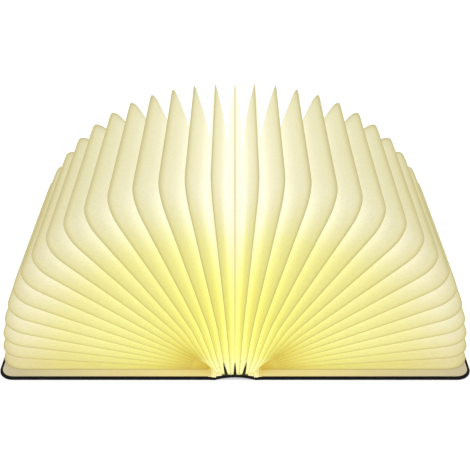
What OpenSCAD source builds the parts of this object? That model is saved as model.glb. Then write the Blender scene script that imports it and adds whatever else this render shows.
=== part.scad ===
// A folding book lamp, lying open at 180 degrees on its two covers.
// Cloth-covered boards are hinged to a bowed cloth spine. A light bar stands on
// the spine, and a pleated paper bellows runs over it from cover to cover.
// X runs across the spine, Y along it and Z up from the table.

/* [Book] */
// Length of the covers along the spine
book_l = 216; // [180:1:260]
// Width of each cover, from its hinge to its fore edge
cover_w = 166.5; // [130:0.5:200]
// Distance between the two hinges, which is also how thick the shut book is
spine_w = 34; // [32:1:36]
// Radius of the covers' fore-edge corners
cover_r = 12; // [4:1:20]
// How far the spine cloth bows up off the table
spine_bow = 2.9; // [2:0.1:3]

/* [Covers] */
// Thickness of the black book cloth
cloth_t = 0.4; // [0.3:0.05:0.6]
// Thickness of the grey board under the cloth's turned-in edge
board_t = 1.4; // [1:0.1:2]
// Thickness of the cloth where it is turned in over the board
turn_t = 0.3; // [0.2:0.05:0.4]
// How far the cloth is turned in over the board
turn_w = 9; // [5:1:15]
// Thickness of the pasted-down liner
liner_t = 0.25; // [0.15:0.05:0.4]
// How far the liner stops short of the cover's edges
liner_inset = 2.2; // [1:0.1:5]
// Thickness of the spine's cloth where it is turned in at the head and the tail
hem_t = 1.3; // [0.8:0.1:1.4]
// Gap between the hinge and the edge of the board
joint_gap = 1.5; // [1.5:0.1:3]

/* [Magnets] */
// Diameter of the disc magnets that hold the two covers together
magnet_d = 12; // [8:1:15]
// Depth of the pockets that the magnets lie in
magnet_t = 1.3; // [0.8:0.1:1.5]
// Distance of the magnets in from the fore edge
magnet_in = 17; // [15:1:30]
// Distance of the magnets in from the head and the tail
magnet_end = 26; // [15:1:60]
// Diameter of the small magnet that works the switch
trigger_d = 6; // [4:1:8]

/* [Pages] */
// Folded pages on each side of the middle one
pages_side = 15; // [8:1:15]
// Distance of the bellows' ends in from the ends of the covers
page_inset = 1.5; // [1:0.5:4]
// How far the open pages stop short of the covers' fore edges
page_setback = 0.5; // [0.5:0.1:4]
// Radius of the pages' outer corners
page_r = 29; // [5:1:30]
// Radius where the inner fold turns its corners
inner_r = 12; // [3:1:15]
// Depth of a pleat from its outer fold to its inner fold
pleat_d = 46; // [20:1:60]
// Width of a page's foot along the spine
foot_w = 6; // [4:0.5:7]
// Height of the narrow foot, which clears the light bar
foot_h = 13; // [12.5:0.5:20]
// Height at which the pleat reaches its full depth
full_h = 40; // [30:1:60]
// Thickness of one sheet
sheet_t = 0.2; // [0.1:0.02:0.24]
// Gap left between two pages where they meet at an inner fold
fold_gap = 0.2; // [0.1:0.02:0.3]
// Half the width of the row of feet on the spine, with the book shut
feet_half = 14.6; // [14:0.1:15]
// Half the width of the row of feet with the book open flat
feet_open = 21; // [20:0.5:24]
// Height of the stack of feet beside the spine with the book open flat
feet_stack = 2; // [1.5:0.1:4]
// How far the fan's angles depart from even steps, in degrees
fan_bump = 2.5; // [0:0.1:3]

/* [Light bar] */
// Distance of the light bar's ends in from the ends of the covers
bar_inset = 10; // [9:0.5:20]
// Width of the light bar
bar_w = 26; // [24:0.5:27]
// Height of the tray's rim above the table
tray_top = 12.2; // [11:0.1:12.5]
// Rise of the diffuser above the tray's rim
dome_h = 2.4; // [1:0.1:2.4]
// Thickness of the diffuser
dome_t = 1; // [0.6:0.1:1.5]
// Thickness of the end caps
cap_t = 1.5; // [1:0.1:2.5]
// Thickness of the tray's side walls beside the channel
wall_w = 2.2; // [1.8:0.1:3]
// Height of the channel's floor above the table
floor_z = 5; // [4.9:0.1:5.5]
// Height of the ledges that the LED board lies on
ledge_z = 10.2; // [10:0.1:10.5]
// Thickness of the LED board
led_board_t = 1; // [0.8:0.1:1.6]
// Number of LEDs
led_count = 12; // [4:1:16]
// Length of the solid blocks in the ends of the tray
block_l = 6; // [5:0.5:10]
// Width and thickness of a lithium cell
cell = [18, 4.6];
// Room along the spine between the cells and what lies next to them
cell_gap = [5.5, 2, 7];
// Length and thickness of the charge board
charge_board = [22, 0.8];
// Distance of the charge socket's centre from the far end of the channel
socket_in = 12.5; // [10:0.5:15]
// Width, depth and corner radius of the charge socket's shell
socket = [9, 3.2, 1.4];
// Diameter of the end cap screws' threads
screw_d = 2; // [1.6:0.1:2.5]
// Diameter of the insulated leads
lead_d = 0.9; // [0.6:0.1:1.2]

/* [Hidden] */
$fn = 48;
fit = 0.1;
eps = 0.01;
hinge_x = spine_w / 2;
cover_end = hinge_x + cover_w;
board_x = hinge_x + joint_gap;
turn_z = cloth_t + board_t;
cover_top = turn_z + turn_t;
liner_top = cover_top + liner_t;
cloth_x = hinge_x + 0.4;
wrap_x = hinge_x - 0.4;
wrap_t = 0.6;
glue_t = 0.03;
plate_half = feet_half;
plate_mid_z = spine_bow + wrap_t + 0.5;
plate_edge_z = 2.45;
foot_lift = 0.1;
page_l = book_l - 2 * page_inset;
hem_l = page_inset - fit;
page_w = cover_end - page_setback - feet_open;
bar_l = book_l - 2 * bar_inset;
tray_l = bar_l - 2 * cap_t;
channel_l = tray_l - 2 * block_l;
half_folds = pages_side + 1;
corner_steps = 5;
side_steps = 2;
rim_w = 1.2;
channel_w = bar_w - 2 * wall_w;
charge_board_w = channel_w - 2 * fit;
led_board_w = bar_w - 2 * rim_w - 2 * fit;
led_board_l = tray_l - 2;
charge_z = 9;
socket_y = channel_l / 2 - socket_in;
charge_board_y = socket_y - 14;
sensor_w = 3;
sensor_h = 1.1;
slot = [socket[0] + 1, socket[1] + 1];
screw_x = 8;
screw_z = 7.6;
screw_l = 5;
screw_head_d = 3.6;
screw_head_t = 1;
magnet_x = cover_end - magnet_in;
magnet_y = book_l / 2 - magnet_end;
trigger_x = 30;
trigger_y = 60;
cell_near_end = cell_gap[0] - channel_l / 2;
cell_l = (charge_board_y - cell_near_end - cell_gap[1] - cell_gap[2]) / 2;
cell_near_y = cell_near_end + cell_l / 2;
cell_far_y = cell_near_y + cell_l + cell_gap[1];

// ---- Covers ----

// Outline of a back cover, inset from its three outer edges, from x = x0 outwards
module cover_outline(x0, inset) {
    x1 = cover_end - inset;
    y1 = book_l / 2 - inset;
    r = cover_r - inset;
    translate([x0, -y1]) square([x1 - r - x0, 2 * y1]);
    translate([x0, -y1 + r]) square([x1 - x0, 2 * (y1 - r)]);
    for (s = [-1, 1]) translate([x1 - r, s * (y1 - r)]) circle(r);
}

// A slab of the cover from z0 to z1
module cover_slab(x0, inset, z0, z1) {
    translate([0, 0, z0]) linear_extrude(z1 - z0) cover_outline(x0, inset);
}

// Black book cloth: the outer skin, the wrapped edges and the turned-in border
module cover_cloth() {
    color("#17171a") difference() {
        cover_slab(cloth_x, 0, 0, cover_top);
        cover_slab(cloth_x - 1, cloth_t, cloth_t, turn_z);
        cover_slab(cloth_x - 1, turn_w, cloth_t, cover_top + 1);
        translate([cloth_x - 1, -book_l / 2 - 1, cloth_t])
            cube([board_x - cloth_x + 1, book_l + 2, cover_top]);
    }
}

// Grey board, rebated under the turned-in cloth, with pockets for the magnets
module cover_board(with_trigger) {
    color("#8c877c") difference() {
        union() {
            cover_slab(board_x, cloth_t, cloth_t, turn_z);
            cover_slab(board_x, turn_w, cloth_t, cover_top);
        }
        for (s = [-1, 1]) pocket(magnet_x, s * magnet_y, magnet_d);
        if (with_trigger) pocket(trigger_x, trigger_y, trigger_d);
    }
}

// Round pocket for a magnet, open at the top
module pocket(x, y, d) {
    translate([x, y, cover_top - magnet_t]) cylinder(d = d + 2 * fit, h = magnet_t + 1);
}

// Disc magnet in its pocket
module magnet(x, y, d) {
    color("#b9bcc0") translate([x, y, cover_top - magnet_t]) cylinder(d = d, h = magnet_t);
}

// Pale liner pasted over the board and the turned-in cloth
module cover_liner() {
    color("#dcdbd5") cover_slab(board_x, liner_inset, cover_top, liner_top);
}

// ---- Spine ----

// Radius of an arc with the given half width and rise
function arc_radius(half, rise) = (half * half + rise * rise) / (2 * rise);

plate_r = arc_radius(plate_half, plate_mid_z - plate_edge_z);
wrap_r = arc_radius(wrap_x, spine_bow);

// Height of the plate's bowed top at x
function plate_z(x) = plate_mid_z - plate_r + sqrt(plate_r * plate_r - x * x);

// Large disc whose top is at the given height, seen along the spine
module arc_disc(r, top_z) {
    translate([0, top_z - r]) circle(r, $fn = 180);
}

// Turns a profile drawn in X and Z into a bar along the spine
module along_spine(length, y_mid = 0) {
    translate([0, y_mid + length / 2, 0]) rotate([90, 0, 0]) linear_extrude(length) children();
}

// Slot with round ends for the charge plug, cut up through the spine
module socket_slot() {
    r = slot[1] / 2;
    translate([0, socket_y, -1]) linear_extrude(floor_z + 2) {
        square([slot[0] - 2 * r, slot[1]], center = true);
        for (s = [-1, 1]) translate([s * (slot[0] / 2 - r), 0]) circle(r);
    }
}

// Cross-section of the spine's cloth, as thick as t and out to half on both sides
module wrap_profile(half, t) {
    intersection() {
        difference() {
            arc_disc(wrap_r + t, spine_bow + t);
            arc_disc(wrap_r, spine_bow);
        }
        translate([-half, -eps]) square([2 * half, spine_bow + 2 * t]);
    }
}

// Black cloth between the two hinges, bowed up off the table, with a hem at each end
module spine_wrap() {
    color("#17171a") difference() {
        union() {
            along_spine(book_l) wrap_profile(wrap_x, wrap_t);
            for (s = [-1, 1])
                along_spine(hem_l, s * (book_l - hem_l) / 2) wrap_profile(plate_half, hem_t);
        }
        socket_slot();
    }
}

// Stiff strip glued to the cloth, which carries the feet of the pages and the light bar
module spine_plate() {
    color("#2a2a2c") difference() {
        along_spine(page_l) difference() {
            intersection() {
                arc_disc(plate_r, plate_mid_z);
                translate([-plate_half, 0]) square([2 * plate_half, plate_mid_z]);
            }
            arc_disc(wrap_r + wrap_t + glue_t, spine_bow + wrap_t + glue_t);
        }
        socket_slot();
    }
}

// ---- Light bar ----

// Cross-section of the bar below the diffuser, standing on the bowed plate
module tray_profile() {
    difference() {
        translate([-bar_w / 2, 0]) square([bar_w, tray_top]);
        arc_disc(plate_r + glue_t, plate_mid_z + glue_t);
    }
}

dome_r = arc_radius(bar_w / 2, dome_h);

// Shallow arch on the tray's rim, shrunk inwards by the wall thickness
module dome_profile(wall) {
    intersection() {
        arc_disc(dome_r - wall, tray_top + dome_h - wall);
        translate([-bar_w / 2 + wall, tray_top]) square([bar_w - 2 * wall, dome_h]);
    }
}

// Moulded tray: channel for the cells, ledges for the LED board, solid end blocks
module bar_tray() {
    color("#1c1c1e") difference() {
        along_spine(tray_l) tray_profile();
        translate([-channel_w / 2, -channel_l / 2, floor_z])
            cube([channel_w, channel_l, tray_top]);
        translate([-bar_w / 2 + rim_w, -tray_l / 2 - 1, ledge_z])
            cube([bar_w - 2 * rim_w, tray_l + 2, tray_top]);
        socket_slot();
        for (x = [-screw_x, screw_x], s = [-1, 1]) screw_hole(x, s * bar_l / 2, screw_d);
    }
}

// Hole along the spine for an end cap screw, centred on the cap's outer face
module screw_hole(x, y, d) {
    translate([x, y, screw_z]) rotate([90, 0, 0]) cylinder(d = d, h = 2 * screw_l, center = true);
}

// Cap over one end of the bar, on the side that s gives
module bar_cap(s) {
    color("#1c1c1e") difference() {
        along_spine(cap_t, s * (bar_l - cap_t) / 2) {
            tray_profile();
            dome_profile(0);
        }
        for (x = [-screw_x, screw_x]) screw_hole(x, s * bar_l / 2, screw_d);
    }
}

// The four screws of the end caps
module bar_screws() {
    color("#9a9ca0") for (x = [-screw_x, screw_x], s = [-1, 1])
        translate([x, s * bar_l / 2, screw_z]) rotate([s * 90, 0, 0]) {
            translate([0, 0, -screw_head_t]) cylinder(d = screw_head_d, h = screw_head_t);
            cylinder(d = screw_d, h = screw_l);
        }
}

// Frosted cover over the LEDs, with two ribs that hold the LED board down
module diffuser() {
    rib_x = bar_w / 2 - rim_w - dome_t - fit;
    color("#f4f1e4") along_spine(tray_l) {
        difference() {
            dome_profile(0);
            dome_profile(dome_t);
        }
        for (s = [-1, 1])
            translate([s * rib_x - dome_t / 2, ledge_z + led_board_t])
                square([dome_t, tray_top + dome_t - ledge_z - led_board_t]);
    }
}

// White board that the LEDs are soldered to
module led_board() {
    color("#f2f2ee") translate([-led_board_w / 2, -led_board_l / 2, ledge_z])
        cube([led_board_w, led_board_l, led_board_t]);
}

// Row of LEDs along the middle of the board
module led_chips() {
    pitch = led_board_l / led_count;
    color("#f3dc5c") for (i = [0:led_count - 1])
        translate([-1.4, (i - led_count / 2 + 0.5) * pitch - 1.75, ledge_z + led_board_t])
            cube([2.8, 3.5, 0.8]);
}

// Flat lithium cell, with its middle at y
module lithium_cell(y) {
    color("#b8bcc4") translate([-cell[0] / 2, y - cell_l / 2, floor_z])
        cube([cell[0], cell_l, cell[1]]);
}

// Board with the charging circuit, held in the channel over the socket
module charge_board() {
    color("#1d5a36") translate([-charge_board_w / 2, charge_board_y, charge_z])
        cube([charge_board_w, charge_board[0], charge_board[1]]);
}

// Metal shell of the socket, facing down through the spine, with its tongue
module charge_socket() {
    color("#b4b6ba") translate([0, socket_y, plate_mid_z]) {
        linear_extrude(charge_z - plate_mid_z) difference() {
            rounded_rect(socket[0], socket[1], socket[2]);
            rounded_rect(socket[0] - 0.6, socket[1] - 0.6, socket[2] - 0.3);
        }
        translate([0, 0, charge_z - plate_mid_z - 0.6]) linear_extrude(0.6)
            rounded_rect(socket[0], socket[1], socket[2]);
        translate([-3.2, -0.35, 0.7]) cube([6.4, 0.7, charge_z - plate_mid_z - 1]);
    }
}

// Rectangle with round corners, centred
module rounded_rect(w, d, r) {
    square([w - 2 * r, d], center = true);
    square([w, d - 2 * r], center = true);
    for (sx = [-1, 1], sy = [-1, 1]) translate([sx * (w / 2 - r), sy * (d / 2 - r)]) circle(r);
}

// Magnetic sensor that tells when the front cover is shut
module closed_sensor() {
    color("#232326") translate([1 - charge_board_w / 2, charge_board_y + 1, charge_z - sensor_h])
        cube([sensor_w, sensor_w, sensor_h]);
}

// Leads from the cells to the charge board, along both walls of the channel
module cell_leads() {
    lead_x = cell[0] / 2 + lead_d / 2 + 0.15;
    lead_l = charge_board_y - cell_near_y;
    color("#c8382c") for (s = [-1, 1])
        translate([s * lead_x, charge_board_y, charge_z - lead_d / 2])
            rotate([90, 0, 0]) cylinder(d = lead_d, h = lead_l, $fn = 24);
}

// ---- Pages ----

// Share of the way from the middle of the fan to a cover
function share(q) = abs(q) / half_folds;

// Sideways place of the foot of fold q with the book open flat, counted from the
// middle page: the inner feet spread out and the outer ones crowd over the hinges
function foot_x(q) =
    sign(q) * feet_open * (0.2 * share(q) + 0.8 * (1 - exp(-pow(4.3 * share(q), 1.25))));

// Height of the same foot, which stands on the plate or on the feet below it
function foot_z(q) =
    plate_z(feet_half * share(q)) + foot_lift + feet_stack * pow(sin(180 * share(q)), 2);

// Angle of fold q from upright
function fan_angle(q) = sign(q)
    * (90 * share(q) + fan_bump * (sin(180 * share(q)) - sin(360 * pow(share(q), 0.9))));

// Quarter turn from the direction a0, with the given centre and radius
function quarter(cx, cy, r, a0) =
    [for (i = [0:corner_steps]) let (a = a0 + 90 * i / corner_steps) [cx + r * cos(a), cy + r * sin(a)]];

// Even steps from point p to point r, leaving out both ends
function between(p, r) = [for (i = [1:side_steps]) p + (r - p) * i / (side_steps + 1)];

// Half of a fold, from the foot at the near end to the corner at the fore edge:
// [height above the foot, place along the spine]
function near_half(foot_y, side_y, top, r) =
    let (shoulder = [full_h, side_y], bend = quarter(top - r, side_y + r, r, -90)) concat(
        [[0, foot_y], [foot_h, foot_y], shoulder], between(shoulder, bend[0]), bend);

// The same half again at the far end
function both_halves(half) =
    let (n = len(half)) concat(half, [for (i = [n - 1:-1:0]) [half[i][0], -half[i][1]]]);

// Outer fold of a page, and the inner fold with one point for each of its points
outer_fold = both_halves(near_half(-page_l / 2, -page_l / 2, page_w, page_r));
inner_fold = both_halves(near_half(foot_w - page_l / 2, pleat_d - page_l / 2, page_w - pleat_d, inner_r));

// Point p of fold q in the lamp's own frame, moved square to the fold by side
function fold_point(q, p, side = 0) = let (a = fan_angle(q)) [
    foot_x(q) + p[0] * sin(a) + side * cos(a),
    p[1],
    foot_z(q) + p[0] * cos(a) - side * sin(a)];

// Six points round a pleat whose edges are at left and right and whose fold is at tip.
// The two sheets are pinched where there isn't room for both at full thickness.
function pleat_ring(left, tip, right) =
    let (t = min(0.4, sheet_t / norm(right - left)), middle = (left + right) / 2) [
        left, tip, right,
        right + (left - right) * t,
        middle + (tip - middle) * (1 - 2 * t),
        left + (right - left) * t];

// Solid through a row of rings of six points. Both faces of a sheet are split along
// the same diagonal, mirrored about the middle of the page, so its thickness is even.
module pleat(rings) {
    n = len(rings);
    sides = [for (i = [0:n - 2], j = [0:5])
        let (k = (j + 1) % 6, a = 6 * i, b = a + 6, first_half = i < n / 2 - 1)
        each (first_half == (j == 0 || j == 3))
            ? [[a + j, b + j, b + k], [a + j, b + k, a + k]]
            : [[a + j, b + j, a + k], [b + j, b + k, a + k]]];
    near = [[0, 1, 4], [0, 4, 5], [1, 2, 3], [1, 3, 4]];
    far = [for (f = near) [for (i = [2:-1:0]) f[i] + 6 * (n - 1)]];
    polyhedron([for (r = rings) each r], concat(sides, near, far));
}

// Page q: two sheets that meet in an outer fold and open towards the light bar
module page(q) {
    color("#f6ecb4") pleat([for (i = [0:len(outer_fold) - 1]) pleat_ring(
        fold_point(q - 0.5, inner_fold[i], fold_gap / 2),
        fold_point(q, outer_fold[i]),
        fold_point(q + 0.5, inner_fold[i], -fold_gap / 2))]);
}

// Last half page: one sheet glued to the back cover's liner, one that meets page 15
module end_sheet() {
    color("#f6ecb4") pleat([for (i = [0:len(outer_fold) - 1]) pleat_ring(
        fold_point(half_folds - 0.5, inner_fold[i], fold_gap / 2),
        [feet_open + outer_fold[i][0], outer_fold[i][1], liner_top],
        [feet_open + inner_fold[i][0], inner_fold[i][1], liner_top])]);
}

// ---- Pieces ----

mirror([1, 0, 0]) cover_cloth();  // front_cloth
mirror([1, 0, 0]) cover_board(true);  // front_board
mirror([1, 0, 0]) cover_liner();  // front_liner
magnet(-magnet_x, -magnet_y, magnet_d);  // front_magnet_near
magnet(-magnet_x, magnet_y, magnet_d);  // front_magnet_far
magnet(-trigger_x, trigger_y, trigger_d);  // front_trigger_magnet
mirror([1, 0, 0]) end_sheet();  // front_end_sheet
cover_cloth();  // back_cloth
cover_board(false);  // back_board
cover_liner();  // back_liner
magnet(magnet_x, -magnet_y, magnet_d);  // back_magnet_near
magnet(magnet_x, magnet_y, magnet_d);  // back_magnet_far
end_sheet();  // back_end_sheet
spine_wrap();
spine_plate();
bar_tray();
bar_cap(-1);  // bar_cap_near
bar_cap(1);  // bar_cap_far
bar_screws();
diffuser();
led_board();
led_chips();
lithium_cell(cell_near_y);  // cell_near
lithium_cell(cell_far_y);  // cell_far
charge_board();
charge_socket();
closed_sensor();
cell_leads();
page(0);  // page_middle
for (k = [1:pages_side]) {
    page(-k);
    page(k);
}
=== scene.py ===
"""Dresses a folding book lamp: two cloth-covered boards, a bowed cloth spine, a
light bar and a pleated paper bellows, all in metres and in the frame of the solids."""
import math

import bpy
import numpy as np
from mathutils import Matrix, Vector


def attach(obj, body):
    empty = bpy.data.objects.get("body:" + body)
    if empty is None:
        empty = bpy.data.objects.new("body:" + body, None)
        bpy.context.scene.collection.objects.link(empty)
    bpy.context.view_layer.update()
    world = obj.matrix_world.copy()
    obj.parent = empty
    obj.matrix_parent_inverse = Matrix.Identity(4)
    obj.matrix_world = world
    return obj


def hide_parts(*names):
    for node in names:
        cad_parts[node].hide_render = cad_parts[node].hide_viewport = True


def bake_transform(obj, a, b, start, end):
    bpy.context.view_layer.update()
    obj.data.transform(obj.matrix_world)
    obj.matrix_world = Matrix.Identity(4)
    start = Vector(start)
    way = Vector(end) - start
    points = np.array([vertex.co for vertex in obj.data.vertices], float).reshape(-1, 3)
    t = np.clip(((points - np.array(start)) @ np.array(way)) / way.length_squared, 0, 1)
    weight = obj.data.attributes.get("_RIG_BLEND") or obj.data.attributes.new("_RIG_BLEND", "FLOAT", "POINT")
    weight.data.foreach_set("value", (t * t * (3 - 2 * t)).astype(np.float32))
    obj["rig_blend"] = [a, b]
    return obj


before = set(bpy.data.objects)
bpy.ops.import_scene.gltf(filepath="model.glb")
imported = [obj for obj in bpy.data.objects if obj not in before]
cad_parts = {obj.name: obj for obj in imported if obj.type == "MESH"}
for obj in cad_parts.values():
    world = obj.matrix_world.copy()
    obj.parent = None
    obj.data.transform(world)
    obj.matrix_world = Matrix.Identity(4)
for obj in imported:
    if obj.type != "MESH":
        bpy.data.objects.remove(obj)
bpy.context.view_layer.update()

# ---- Camera ----
# Looks along the spine from the near end and from about 30 degrees above the
# table, close enough for the perspective that a short lens distance gives.

CAMERA_RISE = math.radians(31.53)
CAMERA_REACH = 0.7539
CAMERA_TARGET = Vector((0, 0, 0.0654))

camera_data = bpy.data.cameras.new("view")
camera_data.sensor_fit = "HORIZONTAL"
camera_data.sensor_width = 36
camera_data.lens = 69.04
camera = bpy.data.objects.new("view", camera_data)
camera.location = CAMERA_TARGET + CAMERA_REACH * Vector(
    (0, -math.cos(CAMERA_RISE), math.sin(CAMERA_RISE)))
camera.rotation_euler = (math.pi / 2 - CAMERA_RISE, 0, 0)
bpy.context.scene.collection.objects.link(camera)
bpy.context.scene.camera = camera

# ---- Cover cloth ----
# Each cover is a grey board wrapped in black coated book cloth. The cloth is glued
# over the outside, rolled round the three outer edges and turned in over the board,
# where small gathers take up the slack at the round corners.

COVER_END = 0.1835
COVER_HALF = 0.108
COVER_CORNER = 0.012
COVER_TOP = 0.0021
CLOTH_START = 0.0174
HINGE_LEAN = 0.0009
TURN_IN = 0.009
EDGE_ROLL = 0.0008
ROLL_STEPS = 4
GATHER_H = 0.00012
GATHERS = 9


def rounded_cover(inset, z, corner_steps=14, end_steps=20, side_steps=26):
    """Points round a back cover at one height, anticlockwise from its hinge side.

    The hinge side leans away from the spine, so that it clears it when the book is shut.
    """
    r = max(COVER_CORNER - inset, 0.0015)
    x0 = CLOTH_START + HINGE_LEAN * z / COVER_TOP + inset * 0.01
    x1, y1 = COVER_END - inset, COVER_HALF - inset
    points = [(x0 + (x1 - r - x0) * i / end_steps, -y1) for i in range(end_steps)]
    for i in range(corner_steps + 1):
        a = math.pi / 2 * i / corner_steps - math.pi / 2
        points.append((x1 - r + r * math.cos(a), -y1 + r + r * math.sin(a)))
    points += [(x1, -y1 + r + 2 * (y1 - r) * i / side_steps) for i in range(1, side_steps)]
    for i in range(corner_steps + 1):
        a = math.pi / 2 * i / corner_steps
        points.append((x1 - r + r * math.cos(a), y1 - r + r * math.sin(a)))
    points += [(x1 - r + (x0 - x1 + r) * i / end_steps, y1) for i in range(1, end_steps + 1)]
    points += [(x0, y1 - 2 * y1 * i / side_steps) for i in range(1, side_steps)]
    return [(x, y, z) for x, y in points]


def mesh_piece(name, points, faces, smooth=True):
    """A mesh object from points and faces, linked to the scene."""
    mesh = bpy.data.meshes.new(name)
    mesh.from_pydata([tuple(p) for p in points], [], faces)
    mesh.validate()
    if smooth:
        mesh.shade_smooth()
    piece = bpy.data.objects.new(name, mesh)
    bpy.context.scene.collection.objects.link(piece)
    return piece


def rows_to_faces(rows, width, closed=False):
    """Quads between rows of points that lie one after the other."""
    last = width if closed else width - 1
    return [(r * width + c, r * width + (c + 1) % width,
             (r + 1) * width + (c + 1) % width, (r + 1) * width + c)
            for r in range(rows - 1) for c in range(last)]


def mirrored(points, faces, side):
    """The same piece on the front side of the spine when side is -1."""
    if side > 0:
        return points, faces
    return [(-p[0], p[1], p[2]) for p in points], [tuple(reversed(f)) for f in faces]


def start_group(name, inputs, outputs):
    """A node group with named sockets; inputs are (name, type, value)."""
    group = bpy.data.node_groups.new(name, "ShaderNodeTree")
    for label, kind, value in inputs:
        socket = group.interface.new_socket(label, in_out="INPUT", socket_type="NodeSocket" + kind)
        socket.default_value = value
    for label, kind in outputs:
        group.interface.new_socket(label, in_out="OUTPUT", socket_type="NodeSocket" + kind)
    return group, group.nodes.new("NodeGroupInput"), group.nodes.new("NodeGroupOutput")


def add_node(tree, kind, settings=None, **values):
    """A node with its settings and the values of its input sockets by name."""
    node = tree.nodes.new("ShaderNode" + kind)
    for key, value in (settings or {}).items():
        setattr(node, key, value)
    for key, value in values.items():
        node.inputs[key.replace("_", " ")].default_value = value
    return node


def start_material(name, **values):
    """A material with its Principled shader, whose plain values are given by name."""
    material = bpy.data.materials.new(name)
    material.use_nodes = True
    shader = material.node_tree.nodes["Principled BSDF"]
    for key, value in values.items():
        shader.inputs[key.replace("_", " ")].default_value = value
    return material, material.node_tree, shader


def place_group(tree, group, **values):
    """A node that uses a group, with the values of its inputs by name."""
    node = tree.nodes.new("ShaderNodeGroup")
    node.node_tree = group
    for key, value in values.items():
        node.inputs[key.replace("_", " ")].default_value = value
    return node


# The woven grain of book cloth: two crossed threads, broken up by slubs.
weave, weave_in, weave_out = start_group(
    "woven grain",
    [("Vector", "Vector", (0, 0, 0)), ("Threads per metre", "Float", 2200.0),
     ("Slub", "Float", 0.5)],
    [("Height", "Float"), ("Worn", "Float")])
scaled = add_node(weave, "VectorMath", {"operation": "SCALE"})
weave.links.new(weave_in.outputs["Vector"], scaled.inputs[0])
weave.links.new(weave_in.outputs["Threads per metre"], scaled.inputs["Scale"])
warp = add_node(weave, "TexWave", {"bands_direction": "X"}, Scale=0.5, Distortion=0.4,
                Detail=1.0)
weft = add_node(weave, "TexWave", {"bands_direction": "Y"}, Scale=0.5, Distortion=0.4,
                Detail=1.0)
slubs = add_node(weave, "TexNoise", Scale=0.08, Detail=3.0)
for texture in (warp, weft, slubs):
    weave.links.new(scaled.outputs[0], texture.inputs["Vector"])
crossed = add_node(weave, "Math", {"operation": "MAXIMUM"})
weave.links.new(warp.outputs["Fac"], crossed.inputs[0])
weave.links.new(weft.outputs["Fac"], crossed.inputs[1])
slub_depth = add_node(weave, "Math", {"operation": "MULTIPLY"})
weave.links.new(slubs.outputs["Fac"], slub_depth.inputs[0])
weave.links.new(weave_in.outputs["Slub"], slub_depth.inputs[1])
height = add_node(weave, "Math", {"operation": "ADD"})
weave.links.new(crossed.outputs[0], height.inputs[0])
weave.links.new(slub_depth.outputs[0], height.inputs[1])
rubbed = add_node(weave, "MapRange", From_Min=0.5, From_Max=0.75)
weave.links.new(slubs.outputs["Fac"], rubbed.inputs["Value"])
weave.links.new(height.outputs[0], weave_out.inputs["Height"])
weave.links.new(rubbed.outputs["Result"], weave_out.inputs["Worn"])


def bump_from(tree, shader, height_socket, depth):
    """Raises a shader's surface by a height, up to a depth in metres."""
    bump = add_node(tree, "Bump", Strength=1.0, Distance=depth)
    tree.links.new(height_socket, bump.inputs["Height"])
    tree.links.new(bump.outputs["Normal"], shader.inputs["Normal"])


book_cloth, tree, shader = start_material("black book cloth")
shader.inputs["Specular IOR Level"].default_value = 0.08
place = add_node(tree, "TexCoord")
grain = place_group(tree, weave)
tree.links.new(place.outputs["Object"], grain.inputs["Vector"])
cloth_tone = add_node(tree, "Mix", {"data_type": "RGBA"})
cloth_tone.inputs["A"].default_value = (0.0045, 0.0045, 0.005, 1)
cloth_tone.inputs["B"].default_value = (0.010, 0.010, 0.011, 1)
tree.links.new(grain.outputs["Worn"], cloth_tone.inputs["Factor"])
tree.links.new(cloth_tone.outputs["Result"], shader.inputs["Base Color"])
cloth_gloss = add_node(tree, "MapRange", To_Min=0.72, To_Max=0.55)
tree.links.new(grain.outputs["Worn"], cloth_gloss.inputs["Value"])
tree.links.new(cloth_gloss.outputs["Result"], shader.inputs["Roughness"])
bump_from(tree, shader, grain.outputs["Height"], 0.00006)

for side, word in ((1, "back"), (-1, "front")):
    # Each step is (inset, height): over the board, down round the edge and in underneath.
    profile = [(TURN_IN, COVER_TOP), (0.005, COVER_TOP), (0.0022, COVER_TOP),
               (EDGE_ROLL, COVER_TOP)]
    for i in range(1, ROLL_STEPS + 1):
        a = math.pi / 2 * i / ROLL_STEPS
        profile.append((EDGE_ROLL * (1 - math.sin(a)),
                        COVER_TOP - EDGE_ROLL * (1 - math.cos(a))))
    for i in range(ROLL_STEPS + 1):
        a = math.pi / 2 * i / ROLL_STEPS
        profile.append((EDGE_ROLL * (1 - math.cos(a)), EDGE_ROLL * (1 - math.sin(a))))
    profile += [(0.003, 0.0), (0.01, 0.0), (0.025, 0.0)]
    rings = [rounded_cover(inset, z) for inset, z in profile]
    width = len(rings[0])
    points = []
    for ring in rings:
        for x, y, z in ring:
            past_x = x - COVER_END + COVER_CORNER
            past_y = abs(y) - COVER_HALF + COVER_CORNER
            if z == COVER_TOP and past_x > 0 and past_y > 0:
                z += GATHER_H * math.sin(2 * GATHERS * math.atan2(past_y, past_x)) ** 2
            points.append((x, y, z))
    faces = rows_to_faces(len(rings), width, closed=True)
    faces.append(tuple(range((len(rings) - 1) * width, len(rings) * width)))
    faces = [tuple(reversed(f)) for f in faces]
    cloth = mesh_piece(word + "_cover_cloth", *mirrored(points, faces, side))
    cloth.data.materials.append(book_cloth)
    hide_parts(word + "_cloth")
    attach(cloth, word + "_cover")

# ---- Boards and liners ----
# Raw grey bookbinding board fills each cover. A pale matt endpaper is pasted over it
# and over the turned-in cloth, and stops just short of the edges. Beside the spine the
# bar's golden light on it is painted, as a glow.

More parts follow.
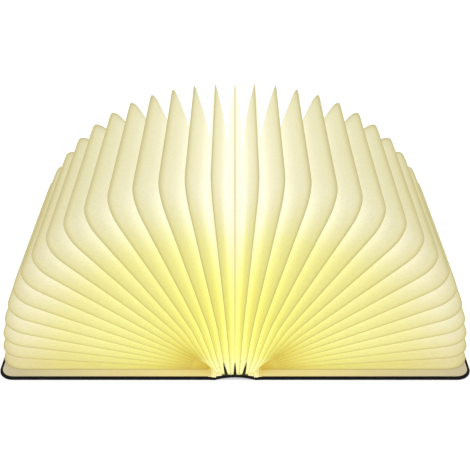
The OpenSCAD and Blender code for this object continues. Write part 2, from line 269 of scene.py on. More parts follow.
fibre, fibre_in, fibre_out = start_group(
    "paper fibre",
    [("Vector", "Vector", (0, 0, 0)), ("Scale", "Float", 900.0)],
    [("Height", "Float"), ("Mottle", "Float")])
fibre_place = add_node(fibre, "VectorMath", {"operation": "SCALE"})
fibre.links.new(fibre_in.outputs["Vector"], fibre_place.inputs[0])
fibre.links.new(fibre_in.outputs["Scale"], fibre_place.inputs["Scale"])
fine = add_node(fibre, "TexNoise", Scale=1.0, Detail=6.0, Roughness=0.65, Distortion=1.2)
broad = add_node(fibre, "TexNoise", Scale=0.035, Detail=3.0)
for texture in (fine, broad):
    fibre.links.new(fibre_place.outputs[0], texture.inputs["Vector"])
fibre.links.new(fine.outputs["Fac"], fibre_out.inputs["Height"])
fibre.links.new(broad.outputs["Fac"], fibre_out.inputs["Mottle"])


def paper_like(name, pale, deep, roughness, scale=900.0, depth=0.00003):
    """Paper or board whose colour wanders between two tones."""
    material, tree, shader = start_material(name, Roughness=roughness)
    place = add_node(tree, "TexCoord")
    grain = place_group(tree, fibre, Scale=scale)
    tree.links.new(place.outputs["Object"], grain.inputs["Vector"])
    tone = add_node(tree, "Mix", {"data_type": "RGBA"})
    tone.inputs["A"].default_value = (*pale, 1)
    tone.inputs["B"].default_value = (*deep, 1)
    tree.links.new(grain.outputs["Mottle"], tone.inputs["Factor"])
    tree.links.new(tone.outputs["Result"], shader.inputs["Base Color"])
    bump_from(tree, shader, grain.outputs["Height"], depth)
    return material


def light_beside_spine(material, near, far):
    """Paints golden light on a paper as a glow, from a near tone at the hinge to a far one at the fore edge.
    """
    tree = material.node_tree
    place = add_node(tree, "TexCoord")
    parts = add_node(tree, "SeparateXYZ")
    tree.links.new(place.outputs["Object"], parts.inputs[0])
    away = add_node(tree, "Math", {"operation": "ABSOLUTE"})
    tree.links.new(parts.outputs["X"], away.inputs[0])
    faded = add_node(tree, "MapRange", From_Min=0.02, From_Max=0.17)
    tree.links.new(away.outputs[0], faded.inputs["Value"])
    light = add_node(tree, "Mix", {"data_type": "RGBA"})
    light.inputs["A"].default_value = (*near, 1)
    light.inputs["B"].default_value = (*far, 1)
    tree.links.new(faded.outputs["Result"], light.inputs["Factor"])
    shader = tree.nodes["Principled BSDF"]
    tree.links.new(light.outputs["Result"], shader.inputs["Emission Color"])
    shader.inputs["Emission Strength"].default_value = 1.0


grey_board = paper_like("grey board", (0.40, 0.38, 0.34), (0.26, 0.25, 0.22), 0.9,
                        scale=1400.0, depth=0.00008)
liner_paper = paper_like("endpaper", (0.57, 0.52, 0.37), (0.49, 0.44, 0.30), 0.75)
# The bar's golden light on the endpaper is painted as a glow that fades away from the spine.
light_beside_spine(liner_paper, (0.26, 0.19, 0.0), (0.03, 0.02, 0.0))

# The strip of endpaper over each hinge lies at the foot of the pages. Full light on it
# is painted, as a paler copy of the endpaper with a golden glow.
lit_liner = paper_like("lit endpaper", (0.70, 0.66, 0.48), (0.62, 0.58, 0.40), 0.75)
glowing = lit_liner.node_tree.nodes["Principled BSDF"]
glowing.inputs["Emission Color"].default_value = (0.62, 0.55, 0.24, 1)
glowing.inputs["Emission Strength"].default_value = 0.6


def dress(node, material):
    """Gives a solid of the frame its finish."""
    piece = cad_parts[node]
    piece.data.materials.clear()
    piece.data.materials.append(material)
    return piece


for word in ("front", "back"):
    dress(word + "_board", grey_board)
    dress(word + "_liner", liner_paper)

# ---- Magnets ----
# Nickel-plated discs lie in pockets of the boards under the liners. Two in each cover
# hold the book shut or folded back, and a small one works the switch in the spine.

plated, plated_in, plated_out = start_group(
    "fine scratches",
    [("Vector", "Vector", (0, 0, 0)), ("Scale", "Float", 400.0), ("Stretch", "Float", 12.0)],
    [("Height", "Float"), ("Dull", "Float")])
streak = add_node(plated, "VectorMath", {"operation": "SCALE"})
plated.links.new(plated_in.outputs["Vector"], streak.inputs[0])
plated.links.new(plated_in.outputs["Scale"], streak.inputs["Scale"])
stretched = add_node(plated, "CombineXYZ")
parts = add_node(plated, "SeparateXYZ")
along = add_node(plated, "Math", {"operation": "MULTIPLY"})
plated.links.new(streak.outputs[0], parts.inputs[0])
plated.links.new(parts.outputs["X"], along.inputs[0])
plated.links.new(plated_in.outputs["Stretch"], along.inputs[1])
plated.links.new(along.outputs[0], stretched.inputs["X"])
plated.links.new(parts.outputs["Y"], stretched.inputs["Y"])
plated.links.new(parts.outputs["Z"], stretched.inputs["Z"])
scratches = add_node(plated, "TexNoise", Scale=1.0, Detail=4.0, Roughness=0.6)
plated.links.new(stretched.outputs[0], scratches.inputs["Vector"])
dull = add_node(plated, "MapRange", From_Min=0.35, From_Max=0.7)
plated.links.new(scratches.outputs["Fac"], dull.inputs["Value"])
plated.links.new(scratches.outputs["Fac"], plated_out.inputs["Height"])
plated.links.new(dull.outputs["Result"], plated_out.inputs["Dull"])


def streaked(name, pale, deep, smooth, rough, metallic=0.0, scale=400.0, stretch=12.0,
             depth=0.00001, **values):
    """A hard finish whose colour and gloss follow fine scratches or moulding grain."""
    material, tree, shader = start_material(name, Metallic=metallic, **values)
    place = add_node(tree, "TexCoord")
    grain = place_group(tree, plated, Scale=scale, Stretch=stretch)
    tree.links.new(place.outputs["Object"], grain.inputs["Vector"])
    tone = add_node(tree, "Mix", {"data_type": "RGBA"})
    tone.inputs["A"].default_value = (*pale, 1)
    tone.inputs["B"].default_value = (*deep, 1)
    tree.links.new(grain.outputs["Dull"], tone.inputs["Factor"])
    tree.links.new(tone.outputs["Result"], shader.inputs["Base Color"])
    gloss = add_node(tree, "MapRange", To_Min=smooth, To_Max=rough)
    tree.links.new(grain.outputs["Dull"], gloss.inputs["Value"])
    tree.links.new(gloss.outputs["Result"], shader.inputs["Roughness"])
    bump_from(tree, shader, grain.outputs["Height"], depth)
    return material


nickel = streaked("nickel plating", (0.66, 0.66, 0.64), (0.48, 0.48, 0.47), 0.18, 0.4, 1.0)
for node in ("front_magnet_near", "front_magnet_far", "front_trigger_magnet",
             "back_magnet_near", "back_magnet_far"):
    dress(node, nickel)

# ---- Spine ----
# Stiffened book cloth bows up off the table between the two hinges. A black plastic
# strip glued along it carries the feet of the pages, and the cloth alone bends at the
# hinges, where it runs on under each cover.

SPINE_BOW = 0.0029
WRAP_HALF = 0.0166
WRAP_T = 0.0006

black_plastic = streaked("moulded black plastic", (0.020, 0.020, 0.021), (0.028, 0.028, 0.030),
                         0.42, 0.58, scale=1500.0, stretch=1.0, depth=0.00003)
dress("spine_wrap", book_cloth)
dress("spine_plate", black_plastic)

WRAP_RADIUS = (WRAP_HALF ** 2 + SPINE_BOW ** 2) / (2 * SPINE_BOW)
STRIP_T = 0.00034
STRIP_HALF = COVER_HALF - 0.0003
SPINE_LAP = 0.0012
COVER_LAP = 0.0016
UNDER_SPINE = 0.0002
UNDER_COVER = 0.00004
PLATE_Z = 0.0040
PLATE_HALF = 0.0146
PLATE_BOW = 0.00155
PLATE_RADIUS = (PLATE_HALF ** 2 + PLATE_BOW ** 2) / (2 * PLATE_BOW)
LINING_T = 0.00012
LINING_HALF = COVER_HALF - 0.0017
PASTE_T = 0.00005
LINING_DROP = 0.0149
HEM_L = 0.0014
HEM_TOP = 0.0015


def ramp(value, start, end):
    """How far a value has come from start to end, from 0 to 1."""
    return np.clip((value - start) / (end - start), 0, 1)


def bow_z(x, radius, top):
    """Height of an arc bowed up over the spine."""
    return top - radius + math.sqrt(radius ** 2 - min(x, WRAP_HALF) ** 2)


def strip_along_hinge(name, side, path, thickness, half_length, material, hem_top=0,
                      steps=60):
    """A thin strip whose underside follows a path of (x, z) from the spine to a cover.

    At head and tail its top may rise to that of a hem, where the cloth is turned over.
    """
    row = steps + 1
    inner = half_length - HEM_L
    places = [-half_length, -inner, *np.linspace(-inner + 0.0002, inner - 0.0002, steps - 3),
              inner, half_length]
    points = []
    for lift in (thickness, 0):
        for x, z in path:
            top = max(z + lift, hem_top) if lift else z
            points += [(x, y, top if abs(y) > inner - 0.0001 else z + lift) for y in places]
    count = len(path) * row
    faces = [(i * row + j, (i + 1) * row + j, (i + 1) * row + j + 1, i * row + j + 1)
             for i in range(len(path) - 1) for j in range(steps)]
    faces += [tuple(count + v for v in reversed(f)) for f in faces]
    last = (len(path) - 1) * row
    rim = [i * row for i in range(len(path))]
    rim += [last + j for j in range(1, row)]
    rim += [i * row + steps for i in range(len(path) - 2, -1, -1)]
    rim += range(steps - 1, 0, -1)
    faces += [(rim[i], count + rim[i], count + rim[(i + 1) % len(rim)], rim[(i + 1) % len(rim)])
              for i in range(len(rim))]
    strip = mesh_piece(name, *mirrored(points, faces, side))
    strip.data.materials.append(material)
    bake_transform(strip, "spine", ("back" if side > 0 else "front") + "_cover",
             start=(side * WRAP_HALF, 0, 0.0003), end=(side * CLOTH_START, 0, 0.0003))


for side, word in ((1, "back"), (-1, "front")):
    cloth_path = []
    for x in np.linspace(WRAP_HALF - SPINE_LAP, CLOTH_START + COVER_LAP, 25):
        under = max(bow_z(x, WRAP_RADIUS, SPINE_BOW), 0)
        settled = ramp(x, WRAP_HALF, CLOTH_START)
        cloth_path.append((x, UNDER_COVER + (under + UNDER_SPINE - UNDER_COVER) * (1 - settled)))
    strip_along_hinge(word + "_hinge_cloth", side, cloth_path, STRIP_T, STRIP_HALF,
                      book_cloth, HEM_TOP)
    # The endpaper starts on the plate, dips into the hinge and climbs the board's edge.
    lining_path = [(x, bow_z(x, PLATE_RADIUS, PLATE_Z) + PASTE_T)
                   for x in (0.0100, 0.0111, 0.0122, 0.0133, 0.0144)]
    lining_path += [(x, bow_z(x, WRAP_RADIUS + WRAP_T, SPINE_BOW + WRAP_T) + PASTE_T)
                    for x in np.linspace(LINING_DROP, WRAP_HALF, 8)]
    lining_path += [(0.0169, 0.00060), (0.0173, 0.00058), (0.01756, 0.00088), (0.01776, 0.00130),
                    (0.01794, 0.00170), (0.01814, 0.00200), (0.01840, 0.00213), (0.0188, 0.00214),
                    (0.0197, 0.00214), (0.0206, 0.00214)]
    strip_along_hinge(word + "_hinge_lining", side, lining_path, LINING_T, LINING_HALF,
                      lit_liner)

# ---- Light bar ----
# A moulded black tray stands on the plate, closed by a screwed cap at each end. It
# holds two flat cells, a charge board over the socket and a white board with a row of
# LEDs, under a frosted cover that spreads their light up into the pages.

opal, tree, shader = start_material("frosted cover", Roughness=0.45)
place = add_node(tree, "TexCoord")
grain = place_group(tree, fibre, Scale=2500.0)
tree.links.new(place.outputs["Object"], grain.inputs["Vector"])
opal_tone = add_node(tree, "Mix", {"data_type": "RGBA"})
opal_tone.inputs["A"].default_value = (0.86, 0.83, 0.72, 1)
opal_tone.inputs["B"].default_value = (0.78, 0.74, 0.62, 1)
tree.links.new(grain.outputs["Mottle"], opal_tone.inputs["Factor"])
tree.links.new(opal_tone.outputs["Result"], shader.inputs["Base Color"])
# The LEDs show as brighter places in a row along the cover.
apart = add_node(tree, "SeparateXYZ")
tree.links.new(place.outputs["Object"], apart.inputs[0])
LED_ROW = 0.191
LED_GAPS = 12
row_phase = add_node(tree, "Math", {"operation": "MULTIPLY"})
row_phase.inputs[1].default_value = 2 * math.pi * LED_GAPS / LED_ROW
tree.links.new(apart.outputs["Y"], row_phase.inputs[0])
row_wave = add_node(tree, "Math", {"operation": "COSINE"})
tree.links.new(row_phase.outputs[0], row_wave.inputs[0])
led_glow = add_node(tree, "MapRange", From_Min=1.0, From_Max=-1.0, To_Min=0.75, To_Max=1.0)
tree.links.new(row_wave.outputs[0], led_glow.inputs["Value"])
opal_glow = add_node(tree, "Mix", {"data_type": "RGBA", "blend_type": "MULTIPLY"})
opal_glow.inputs["Factor"].default_value = 1.0
opal_glow.inputs["A"].default_value = (1.0, 0.86, 0.50, 1)
tree.links.new(led_glow.outputs["Result"], opal_glow.inputs["B"])
tree.links.new(opal_glow.outputs["Result"], shader.inputs["Emission Color"])
shader.inputs["Emission Strength"].default_value = 1.6
bump_from(tree, shader, grain.outputs["Height"], 0.00002)

phosphor = streaked("led phosphor", (0.90, 0.72, 0.16), (0.80, 0.60, 0.10), 0.25, 0.4,
                    scale=3000.0, stretch=1.0, Coat_Weight=0.5)
shining = phosphor.node_tree.nodes["Principled BSDF"]
shining.inputs["Emission Color"].default_value = (1, 0.8, 0.4, 1)
shining.inputs["Emission Strength"].default_value = 2.0
finishes = {
    "white solder mask": streaked("white solder mask", (0.82, 0.82, 0.79), (0.74, 0.74, 0.70),
                                  0.35, 0.5, scale=900.0, stretch=1.0),
    "screw steel": streaked("screw steel", (0.56, 0.56, 0.57), (0.42, 0.42, 0.43), 0.25, 0.45, 1.0),
    "pouch foil": streaked("cell pouch foil", (0.62, 0.64, 0.66), (0.50, 0.51, 0.54), 0.3, 0.5, 0.9,
                           scale=220.0, stretch=3.0, depth=0.0001),
    "green solder mask": streaked("green solder mask", (0.020, 0.13, 0.05), (0.012, 0.09, 0.035),
                                  0.25, 0.4, scale=1800.0, stretch=1.0),
    "socket steel": streaked("stamped socket steel", (0.60, 0.60, 0.61), (0.46, 0.46, 0.47),
                             0.22, 0.4, 1.0),
    "chip": streaked("moulded chip body", (0.022, 0.022, 0.022), (0.03, 0.03, 0.03), 0.5, 0.65,
                     scale=4000.0, stretch=1.0),
    "red insulation": streaked("red lead insulation", (0.52, 0.045, 0.03), (0.40, 0.03, 0.02),
                               0.35, 0.5, scale=1200.0, stretch=0.3),
}
for node, material in {
        "bar_tray": black_plastic, "bar_cap_near": black_plastic, "bar_cap_far": black_plastic,
        "bar_screws": finishes["screw steel"], "diffuser": opal,
        "led_board": finishes["white solder mask"], "led_chips": phosphor,
        "cell_near": finishes["pouch foil"], "cell_far": finishes["pouch foil"],
        "charge_board": finishes["green solder mask"],
        "charge_socket": finishes["socket steel"], "closed_sensor": finishes["chip"],
        "cell_leads": finishes["red insulation"]}.items():
    dress(node, material)

# ---- Pages ----
# One long pleated band of tough matt paper fans over the light bar from cover to
# cover. The pages are its outer folds. Each opens towards the bar, is glued to its
# neighbours along the inner folds, and stands on the spine on narrow feet.

PAGES = 15
HALF_FOLDS = PAGES + 1
FEET_SHUT = PLATE_HALF
FEET_OPEN = 0.021
FEET_STACK = 0.002
FAN_BUMP = math.radians(2.5)
SIDE_HALF = 0.098
FOOT_FORWARD = 0.0085
PAGE_W = 0.1626
PAGE_CORNER = 0.018
INNER_CORNER = 0.012
PLEAT_DEPTH = 0.046
FOOT_NOTCH = 0.0009
FOOT_H = 0.013
FULL_H = 0.040
LINER_TOP = 0.00235
SHEET_T = 0.00018
SHEET_STEPS = 10
SHEET_BULGE = 0.03
OUTER_EASING = 6
INNER_EASING = 10
MIDDLE_SLIT = 0.0013
WIDE_SLIT = 0.0014
NARROW_SLIT = 0.0002


def foot_x(v):
    """Sideways place of the foot of fold v, counted from the middle page outwards.

    The feet near the middle stand apart and the others crowd towards the spine's edge.
    """
    u = np.maximum(v, 0) / HALF_FOLDS
    return FEET_OPEN * (0.2 * u + 0.8 * (1 - np.exp(-(4.3 * u) ** 1.25)))


def foot_z(v):
    """Height of the foot of fold v. Feet stack up a little between the middle and the cover."""
    u = v / HALF_FOLDS
    plate = PLATE_Z - PLATE_RADIUS + np.sqrt(PLATE_RADIUS ** 2 - (FEET_SHUT * u) ** 2)
    return plate + 0.0001 + FEET_STACK * np.sin(np.pi * u) ** 2


def fan_angle(v):
    """Angle of fold v from upright, in radians."""
    u = np.maximum(v, 0) / HALF_FOLDS
    return np.pi / 2 * u + FAN_BUMP * (np.sin(np.pi * u) - np.sin(2 * np.pi * u ** 0.9))


def half_fold(foot_y, side_y, top, corner):
    """Half of a fold from its near foot to the middle of its fore edge: height, place."""
    line = [(FOOT_H * i / 6, foot_y) for i in range(6)]
    line += [(FOOT_H + (FULL_H - FOOT_H) * i / 8, foot_y + (side_y - foot_y) * i / 8)
             for i in range(8)]
    line += [(FULL_H + (top - corner - FULL_H) * i / 16, side_y) for i in range(16)]
    for i in range(16):
        a = math.pi / 2 * i / 16 - math.pi / 2
        line.append((top - corner + corner * math.cos(a), side_y + corner + corner * math.sin(a)))
    line += [(top, side_y + corner - (side_y + corner) * i / 10) for i in range(11)]
    return np.array(line)


def softened(line, passes):
    """The same line with its bends eased, as folded paper leaves them."""
    for _ in range(passes):
        line[7:-1] = (line[6:-2] + 2 * line[7:-1] + line[8:]) / 4
    return line


def whole_fold(half):
    """The fold from its near foot round to its far one."""
    return np.concatenate([half, half[-2::-1] * [1, -1]])


outer_fold = whole_fold(softened(half_fold(
    -SIDE_HALF, -SIDE_HALF, PAGE_W, PAGE_CORNER), OUTER_EASING))
inner_fold = whole_fold(softened(half_fold(
    FOOT_NOTCH - SIDE_HALF, PLEAT_DEPTH - SIDE_HALF, PAGE_W - PLEAT_DEPTH, INNER_CORNER),
    INNER_EASING))


def foot_reach(v, height):
    """How far the feet of the pages near the middle stand out towards the spine's ends."""
    near_middle = 1 - ramp(v / HALF_FOLDS, 0.33, 0.58)
    return FOOT_FORWARD * near_middle * (1 - ramp(height, FOOT_H, FULL_H))


def fold_points(v, line):
    """The points of fold v in the lamp's own frame, on the back side of the spine."""
    a = fan_angle(v)
    return np.stack([foot_x(v) + line[:, 0] * np.sin(a),
                     line[:, 1] + np.sign(line[:, 1]) * foot_reach(v, line[:, 0]),
                     foot_z(v) + line[:, 0] * np.cos(a)], axis=1)


def fold_at(points, low, high):
    """Which fold, between low and high, each point lies on."""
    low, high = np.full(len(points), float(low)), np.full(len(points), float(high))
    for _ in range(24):
        v = (low + high) / 2
        a = fan_angle(v)
        beyond = ((points[:, 0] - foot_x(v)) * np.cos(a)
                  > (points[:, 2] - foot_z(v)) * np.sin(a))
        low, high = np.where(beyond, v, low), np.where(beyond, high, v)
    return (low + high) / 2


ROWS = len(outer_fold)
sheet_places = np.linspace(0, 1, SHEET_STEPS + 1) ** 2.2
# How high above its foot each row of a page lies, and how far along the spine
row_height = outer_fold[:, 0]
row_place = outer_fold[:, 1]


def sheet_grid(edge, valley, bulge):
    """Points of one sheet: rows along the fold, steps from its fold to its inner edge."""
    chord = valley - edge
    normal = np.cross(chord, np.gradient(edge, axis=0))
    normal /= np.linalg.norm(normal, axis=1, keepdims=True) + 1e-12
    depth = np.linalg.norm(chord, axis=1, keepdims=True)
    return np.stack([edge + chord * t + normal * depth * bulge * math.sin(math.pi * t)
                     for t in sheet_places], axis=1)


def blended(first, second, amount):
    """A row of colours mixed with others by an amount for each point."""
    return first + (second - first) * amount[:, None]


def bared_share(fold, edge, valley):
    """For each row of a sheet, the share of its depth that its neighbour leaves bare."""
    next_edge = fold_points(fold + 1.0, outer_fold)
    apart = np.linalg.norm(fold_points(fold, outer_fold) - next_edge, axis=1)
    depth = np.linalg.norm(valley - edge, axis=1)
    lean = math.sin(fan_angle(fold)) * 0.52
    return np.clip(apart / (0.5 * apart + lean * depth + 1e-6), 0.03, 1)


ROOT_BRIGHT = np.array((0.56, 0.40, 0.0))
ROOT_DIM = np.array((0.22, 0.12, 0.0))
PALE_END = np.array((0.67, 0.67, 0.63))
FOOT_GLOW = np.array((0.62, 0.59, 0.24))
# How much of red, green and blue of the painted glow is lost to painted shade far from the bar, beside a
# cover and in a fold
FAR_LOSS = np.array((0.05, 0.08, 0.17))
COVER_LOSS = np.array((0.13, 0.20, 0.42))
FOLD_LOSS = np.array((0.46, 0.52, 0.62))
BAR_GLOW_HALF = 0.07


def paint(piece, across, bared, height, place, share, outward):
    """Painted light and shade for each point of a sheet: the glow standing in for the light it lets through,
    and how deep its painted shade is.

    A sheet that faces the middle is dim along its fold and brightens inwards. One that
    faces outwards is bright all over. Share is 0 at the middle page and 1 at a cover,
    and reach is how far a point lies from the bar.
    """
    reach = np.hypot(np.maximum(height, 0), np.maximum(np.abs(place) - BAR_GLOW_HALF, 0))
    nearer = 1 + 0.16 * np.exp(-(reach / 0.07) ** 2)
    whiter = np.maximum(reach - 0.12, 0)
    bright = np.stack([0.655 * nearer, 0.655 * nearer, 0.18 + 0.9 * reach + 5 * whiter], axis=1)
    dim = np.stack([0.35 * nearer, 0.34 * nearer, 0.05 + 0.35 * reach + 3 * whiter], axis=1)

    # The lower pages are painted golden at the root, as the bar's light, and this painted light
    # falls off to tan towards their fore edges; the last page is painted in shade beside its cover.
    low_page = ramp(share, 0.30, 0.58)
    beside_root = np.exp(-(height / 0.027) ** 2) * low_page
    bright = blended(bright, ROOT_BRIGHT, beside_root)
    dim = blended(dim, ROOT_DIM, beside_root)
    painted_falloff = ramp(reach, 0.09, 0.14) * low_page
    bright[:, 2] += 0.05 * low_page * ramp(reach, 0.04, 0.09)
    last_page = ramp(share, 0.85, 1)
    for tone in (bright, dim):
        tone *= 1 - painted_falloff[:, None] * FAR_LOSS
        tone *= 1 - last_page * COVER_LOSS

    # The upper pages' painted glow pales towards their fore edges, and each fold shows as a line of painted
    # shade.
    lit = np.where(outward, 0.95, np.clip(across / bared, 0, 1))
    pale_end = lit ** 3 * ramp(reach, 0.08, 0.14) * (1 - ramp(share, 0, 0.4))
    bright = blended(bright, PALE_END, pale_end)
    glow = np.ones((len(reach), 4))
    line_width = 0.06 * bared if share > 0 else 0.03
    painted_fold_shade = np.where(outward & (share > 0), 0, np.exp(-(across / line_width) ** 2))
    glow[:, :3] = blended(dim, bright, lit)
    glow[:, :3] *= 1 - painted_fold_shade[:, None] * FOLD_LOSS
    # Painted light: the feet get a paler glow of their own.
    on_foot = (1 - ramp(height, 0.28 * FOOT_H, 0.98 * FOOT_H)) * np.clip(2.1 - 5 * share, 0, 0.6)
    glow[:, :3] = blended(glow[:, :3], FOOT_GLOW, on_foot)
    # Painted shade and golden light: the base colour is deepened towards gold along each fold, at the root
    # and near the bar.
    painted_shade_amount = (1 - on_foot) * np.clip(
        beside_root + 0.4 * np.exp(-(reach / 0.06) ** 2) + 0.9 * np.exp(-across / (0.3 * bared)),
        0, 1)
    colours = piece.data.attributes.new("page_glow", "FLOAT_COLOR", "POINT")
    colours.data.foreach_set("color", glow.astype(np.float32).ravel())
    tones = piece.data.attributes.new("painted_golden_shade", "FLOAT", "POINT")
    tones.data.foreach_set("value", painted_shade_amount.astype(np.float32))


# The pages' glow and the deep gold of their base colour are painted light and shade, laid on each point of
# the sheets by paint.
page_paper, tree, shader = start_material("lit page paper", Roughness=0.8)
shader.inputs["Specular IOR Level"].default_value = 0.25
place = add_node(tree, "TexCoord")
grain = place_group(tree, fibre, Scale=420.0)
tree.links.new(place.outputs["UV"], grain.inputs["Vector"])
paper_tone = add_node(tree, "Mix", {"data_type": "RGBA"})
paper_tone.inputs["A"].default_value = (0.47, 0.45, 0.36, 1)
paper_tone.inputs["B"].default_value = (0.42, 0.40, 0.31, 1)
tree.links.new(grain.outputs["Mottle"], paper_tone.inputs["Factor"])
# The base colour is mixed towards a deep gold where painted shade and golden light were put on the sheet.
painted_shade_attr = add_node(tree, "Attribute", {"attribute_name": "painted_golden_shade"})
painted_shade_base = add_node(tree, "Mix", {"data_type": "RGBA"})
painted_shade_base.inputs["B"].default_value = (0.42, 0.38, 0.16, 1)
tree.links.new(painted_shade_attr.outputs["Fac"], painted_shade_base.inputs["Factor"])
tree.links.new(paper_tone.outputs["Result"], painted_shade_base.inputs["A"])
tree.links.new(painted_shade_base.outputs["Result"], shader.inputs["Base Color"])
# The glow is painted light standing in for the bar's light through the paper; it is dimmed a little where
# the painted shade is deep.
lit = add_node(tree, "Attribute", {"attribute_name": "page_glow"})
fold_shade = add_node(tree, "MapRange", To_Min=1.0, To_Max=0.92)
tree.links.new(painted_shade_attr.outputs["Fac"], fold_shade.inputs["Value"])
cloudy = add_node(tree, "MapRange", From_Min=0.3, From_Max=0.7, To_Min=0.88, To_Max=1.10)
tree.links.new(grain.outputs["Height"], cloudy.inputs["Value"])
shade = add_node(tree, "Math", {"operation": "MULTIPLY"})
tree.links.new(fold_shade.outputs["Result"], shade.inputs[0])
tree.links.new(cloudy.outputs["Result"], shade.inputs[1])
glow = add_node(tree, "VectorMath", {"operation": "SCALE"})
tree.links.new(lit.outputs["Color"], glow.inputs[0])
tree.links.new(shade.outputs[0], glow.inputs["Scale"])
tree.links.new(glow.outputs[0], shader.inputs["Emission Color"])
shader.inputs["Emission Strength"].default_value = 1.0
bump_from(tree, shader, grain.outputs["Height"], 0.00004)


def build_pleat(name, side, sheets, bodies, turn, slit, node):
    """A piece of one or two sheets. Each is (fold, inner fold, edge points, inner points).

    It turns with the second of its bodies, which stands at the angle turn, by as much of
    that turn as each point's own fold makes. The slit parts its feet from the next.
    """
    points, faces, across, turned, outwards, bared = [], [], [], [], [], []
    width = SHEET_STEPS + 1
    for fold, inner, edge, valley in sheets:
        outward = 1 if inner > fold else -1
        grid = sheet_grid(edge, valley, SHEET_BULGE * outward)
        parted = edge[:, 0] + outward * slit * (1 - ramp(row_height, 0, FOOT_H)) ** 0.6
        clear = np.maximum if outward > 0 else np.minimum
        grid[:, :, 0] = np.where(row_height[:, None] < FOOT_H,
                                 clear(grid[:, :, 0], parted[:, None]), grid[:, :, 0])
        start = len(points)
        flat = grid.reshape(-1, 3)
        points += [tuple(p) for p in flat]
        quads = rows_to_faces(ROWS, width)
        faces += [tuple(start + v for v in (f if outward > 0 else reversed(f))) for f in quads]
        across += list(np.tile(sheet_places, ROWS))
        outwards += [outward > 0] * len(flat)
        bared += list(np.repeat(bared_share(fold, edge, valley), width))
        lies_on = fold_at(flat, min(fold, inner) - 0.3, max(fold, inner) + 0.3)
        turned += list(fan_angle(np.maximum(lies_on, 0)) / turn)
    piece = mesh_piece(name, *mirrored(points, faces, side))
    heights = np.tile(np.repeat(row_height, width), len(sheets))
    places = np.tile(np.repeat(row_place, width), len(sheets))
    piece.data.materials.append(page_paper)
    uv = piece.data.uv_layers.new(name="sheet")
    corners = np.zeros(len(piece.data.loops), dtype=np.int64)
    piece.data.loops.foreach_get("vertex_index", corners)
    along = np.cumsum(np.r_[0, np.linalg.norm(np.diff(outer_fold, axis=0), axis=1)])
    u = np.tile(np.repeat(along, width), len(sheets))
    v = np.array(across) * PLEAT_DEPTH + np.repeat(np.arange(len(sheets)), ROWS * width) * 0.1
    uv.data.foreach_set("uv", np.stack([u, v + side * sheets[0][0]], axis=1)[corners]
                        .astype(np.float32).ravel())
    paint(piece, np.array(across), np.array(bared), heights, places,
          sheets[0][0] / HALF_FOLDS, np.array(outwards))
    thick = piece.modifiers.new("paper thickness", "SOLIDIFY")
    thick.thickness = SHEET_T
    thick.offset = 0
    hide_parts(node)
    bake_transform(piece, *bodies, start=(0, 0, 0), end=(side, 0, 0))
    weights = piece.data.attributes["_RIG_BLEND"]
    weights.data.foreach_set("value", np.array(turned, dtype=np.float32))
    return piece


for side, word in ((1, "back"), (-1, "front")):
    first = "page_" + word + "_1"
    edge = fold_points(0.0, outer_fold)
    build_pleat("middle_pleat_" + word, side, [(0.0, 0.5, edge, fold_points(0.5, inner_fold))],
                ("spine", first), fan_angle(1.0), MIDDLE_SLIT, "page_middle")
    for k in range(1, PAGES + 1):
        edge = fold_points(float(k), outer_fold)
        if k == 2:
            slit = WIDE_SLIT
        else:
            slit = NARROW_SLIT if k < 6 else 0.0
        build_pleat(f"{word}_pleat_{k}", side,
                    [(k, k - 0.5, edge, fold_points(k - 0.5, inner_fold)),
                     (k, k + 0.5, edge, fold_points(k + 0.5, inner_fold))],
                    ("spine", f"page_{word}_{k}"), fan_angle(float(k)), slit,
                    f"page_{word}_{k}")
    # The last half page: its outer sheet is pasted flat over the cover's liner.
    edge = np.stack([FEET_OPEN + outer_fold[:, 0], outer_fold[:, 1],
                     np.full(ROWS, LINER_TOP + SHEET_T)], axis=1)
    lying = np.stack([FEET_OPEN + inner_fold[:, 0], inner_fold[:, 1],
                      np.full(ROWS, LINER_TOP + SHEET_T)], axis=1)
    build_pleat(word + "_end_pleat", side,
                [(HALF_FOLDS, HALF_FOLDS - 0.5, edge, fold_points(HALF_FOLDS - 0.5, inner_fold)),
                 (HALF_FOLDS, HALF_FOLDS - 0.001, edge, lying)],
                ("spine", word + "_cover"), math.pi / 2, 0.0, word + "_end_sheet")

# ---- Table and light ----
# The lamp lies on a plain white table in even studio light: a white sky and two wide
# soft lamps, one over each shoulder of the camera.

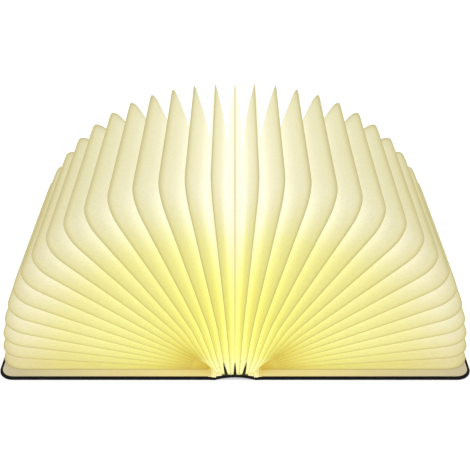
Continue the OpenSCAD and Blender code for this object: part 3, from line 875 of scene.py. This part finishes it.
white_table, tree, shader = start_material("white table", Roughness=0.9)
shader.inputs["Specular IOR Level"].default_value = 0.1
place = add_node(tree, "TexCoord")
grain = place_group(tree, fibre, Scale=300.0)
tree.links.new(place.outputs["Object"], grain.inputs["Vector"])
table_tone = add_node(tree, "Mix", {"data_type": "RGBA"})
table_tone.inputs["A"].default_value = (0.82, 0.82, 0.82, 1)
table_tone.inputs["B"].default_value = (0.80, 0.80, 0.80, 1)
tree.links.new(grain.outputs["Mottle"], table_tone.inputs["Factor"])
tree.links.new(table_tone.outputs["Result"], shader.inputs["Base Color"])
paths = add_node(tree, "LightPath")
shader.inputs["Emission Color"].default_value = (1, 1, 1, 1)
seen = add_node(tree, "Math", {"operation": "MAXIMUM"})
tree.links.new(paths.outputs["Is Camera Ray"], seen.inputs[0])
tree.links.new(paths.outputs["Is Glossy Ray"], seen.inputs[1])
lift = add_node(tree, "Math", {"operation": "MULTIPLY"})
lift.inputs[1].default_value = 0.46
tree.links.new(seen.outputs[0], lift.inputs[0])
tree.links.new(lift.outputs[0], shader.inputs["Emission Strength"])
TABLE_HALF = 3
TABLE_Z = -0.0002
table = mesh_piece("table", [(TABLE_HALF * x, TABLE_HALF * y, TABLE_Z)
                             for x, y in ((-1, -1), (1, -1), (1, 1), (-1, 1))],
                   [(0, 1, 2, 3)], smooth=False)
table.data.materials.append(white_table)

sky = bpy.data.worlds.new("white sky")
sky.use_nodes = True
bpy.context.scene.world = sky
sky_tree = sky.node_tree
backdrop = sky_tree.nodes["Background"]
sky_paths = add_node(sky_tree, "LightPath")
sky_seen = add_node(sky_tree, "Math", {"operation": "MAXIMUM"})
sky_tree.links.new(sky_paths.outputs["Is Camera Ray"], sky_seen.inputs[0])
sky_tree.links.new(sky_paths.outputs["Is Glossy Ray"], sky_seen.inputs[1])
sky_level = add_node(sky_tree, "MapRange", To_Min=0.62, To_Max=1.0)
sky_tree.links.new(sky_seen.outputs[0], sky_level.inputs["Value"])
sky_tree.links.new(sky_level.outputs["Result"], backdrop.inputs["Strength"])
backdrop.inputs["Color"].default_value = (1, 1, 1, 1)

for name, x in (("left", -0.9), ("right", 0.9)):
    lamp = bpy.data.lights.new(name + " lamp", "AREA")
    lamp.shape = "RECTANGLE"
    lamp.size, lamp.size_y = 0.9, 0.9
    lamp.energy = 7.0
    holder = bpy.data.objects.new(name + " lamp", lamp)
    holder.location = (x, -0.7, 1.3)
    towards_lamp = Vector((0, 0, 0.08)) - holder.location
    holder.rotation_euler = towards_lamp.to_track_quat("-Z", "Y").to_euler()
    bpy.context.scene.collection.objects.link(holder)

view = bpy.context.scene.view_settings
view.view_transform = "Standard"
